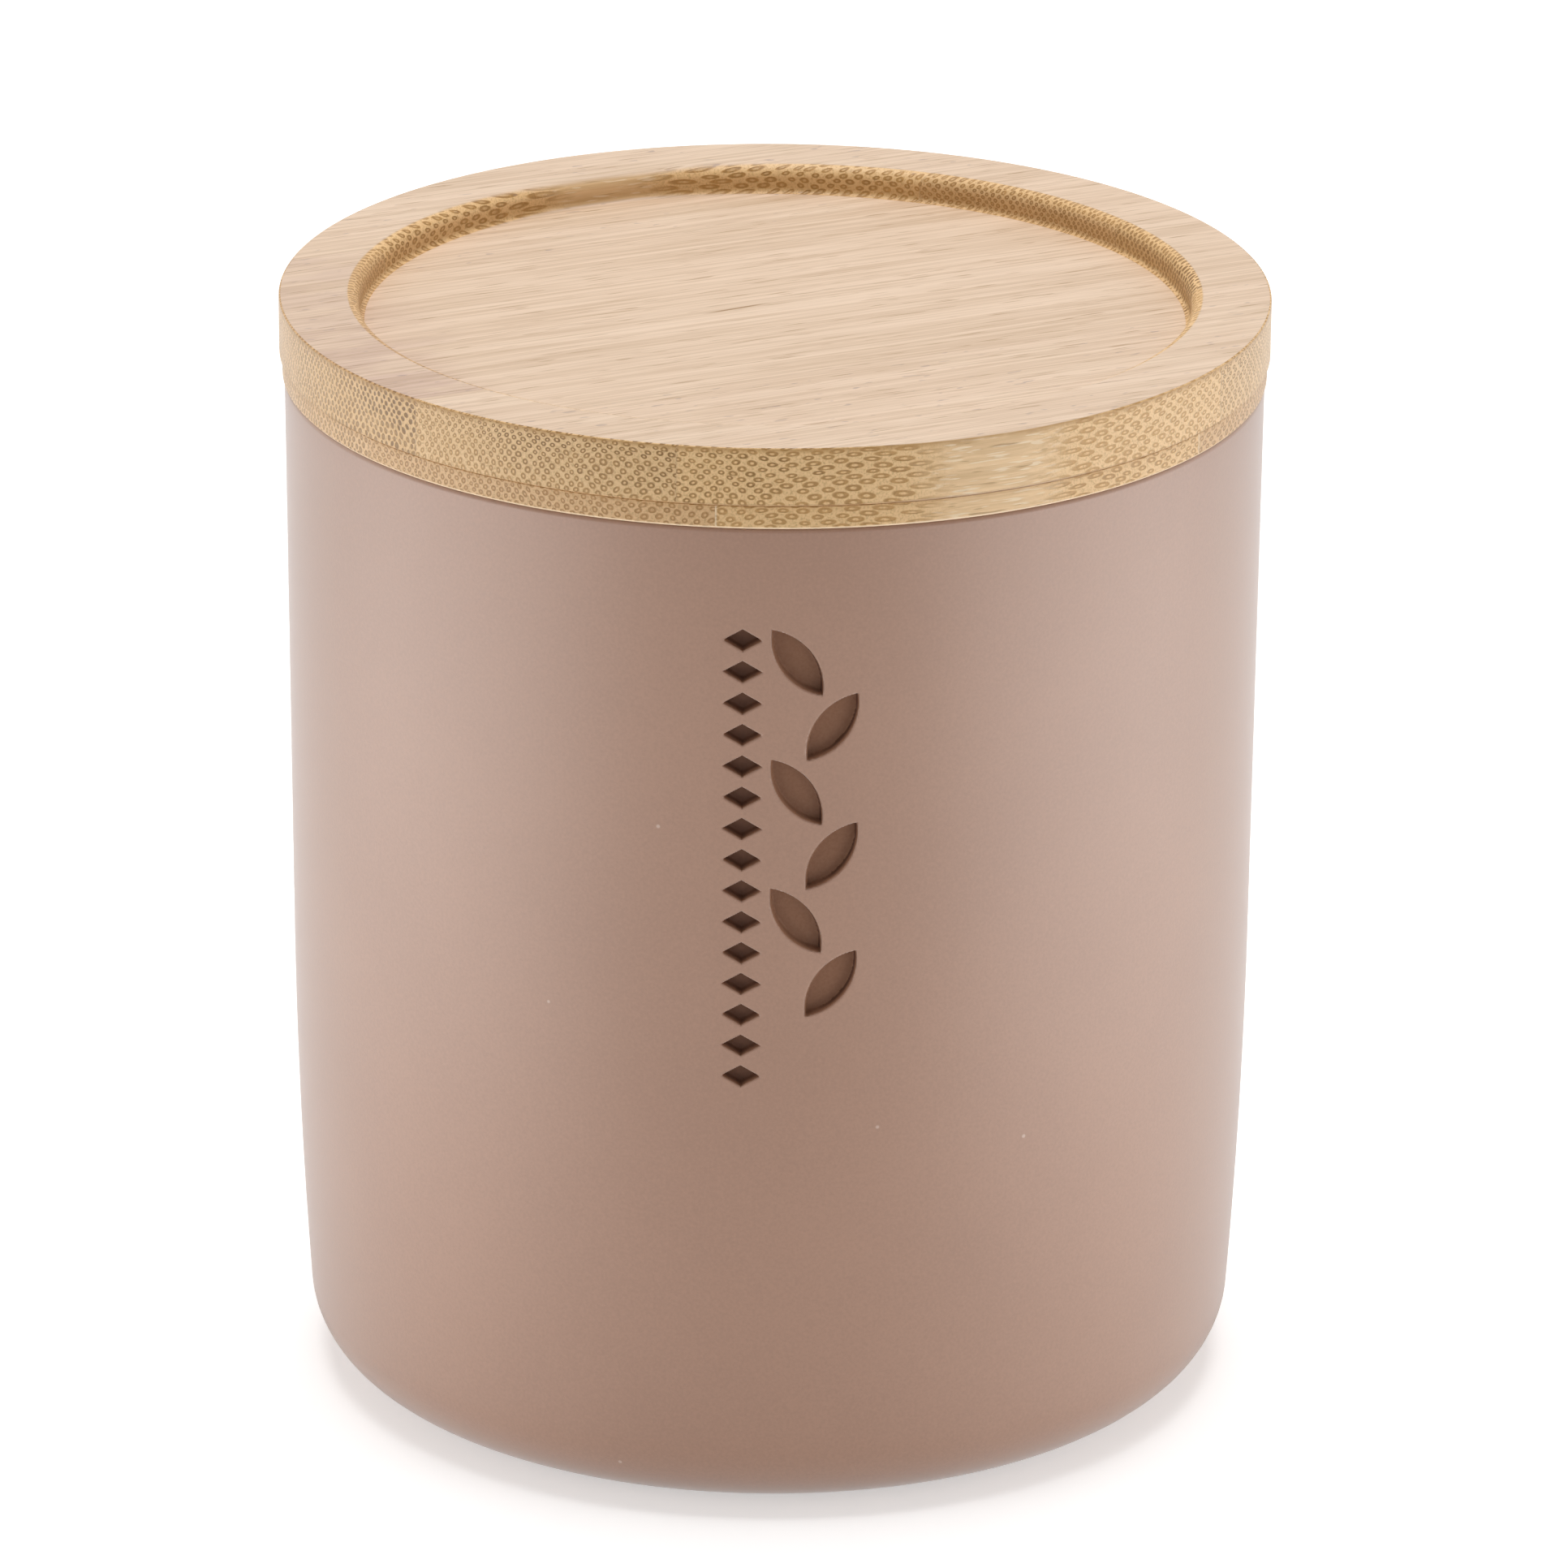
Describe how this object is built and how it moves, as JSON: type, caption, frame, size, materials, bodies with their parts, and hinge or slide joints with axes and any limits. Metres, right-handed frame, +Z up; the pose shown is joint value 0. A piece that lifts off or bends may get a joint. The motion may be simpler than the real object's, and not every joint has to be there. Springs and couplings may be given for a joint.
{
  "type": "lidded cotton pad box",
  "caption": "Round matte canister for cotton pads with a lift-off bamboo lid that has a shallow tray cut into its top.",
  "frame": {"origin": "middle of the pad's underside, on the surface that the box stands on", "axes": "+Z up along the axis of the round pot, -Y the front with the pressed ornament, +X to the right seen from the front"},
  "size_m": [0.098, 0.098, 0.1123],
  "materials": {
    "pot_body": "matte, fine grain",
    "bamboo_upper": "sanded bamboo, unvarnished",
    "bamboo_lower": "sanded bamboo, unvarnished",
    "seal_silicone": "milky silicone",
    "pad_foam": "matte foam"
  },
  "bodies": {
    "pot": {"pot": "pot_body", "base_pad": "pad_foam"},
    "seal": {"lid_seal": "seal_silicone"},
    "lid": {"lid_top_strip_1": "bamboo_upper", "lid_top_strip_2": "bamboo_upper", "lid_top_strip_3": "bamboo_upper", "lid_top_strip_4": "bamboo_upper", "lid_top_strip_5": "bamboo_upper", "lid_base_strip_1": "bamboo_lower", "lid_base_strip_2": "bamboo_lower", "lid_base_strip_3": "bamboo_lower", "lid_base_strip_4": "bamboo_lower"}
  },
  "joints": [
    {"name": "lid_lift", "type": "slide", "parent": "pot", "child": "seal", "axis": [0, 0, 1], "range_m": [0, 0.08]},
    {"name": "lid_turn", "type": "hinge", "parent": "seal", "child": "lid", "pos_m": [0, 0, 0.1041], "axis": [0, 0, 1], "continuous": true}
  ]
}
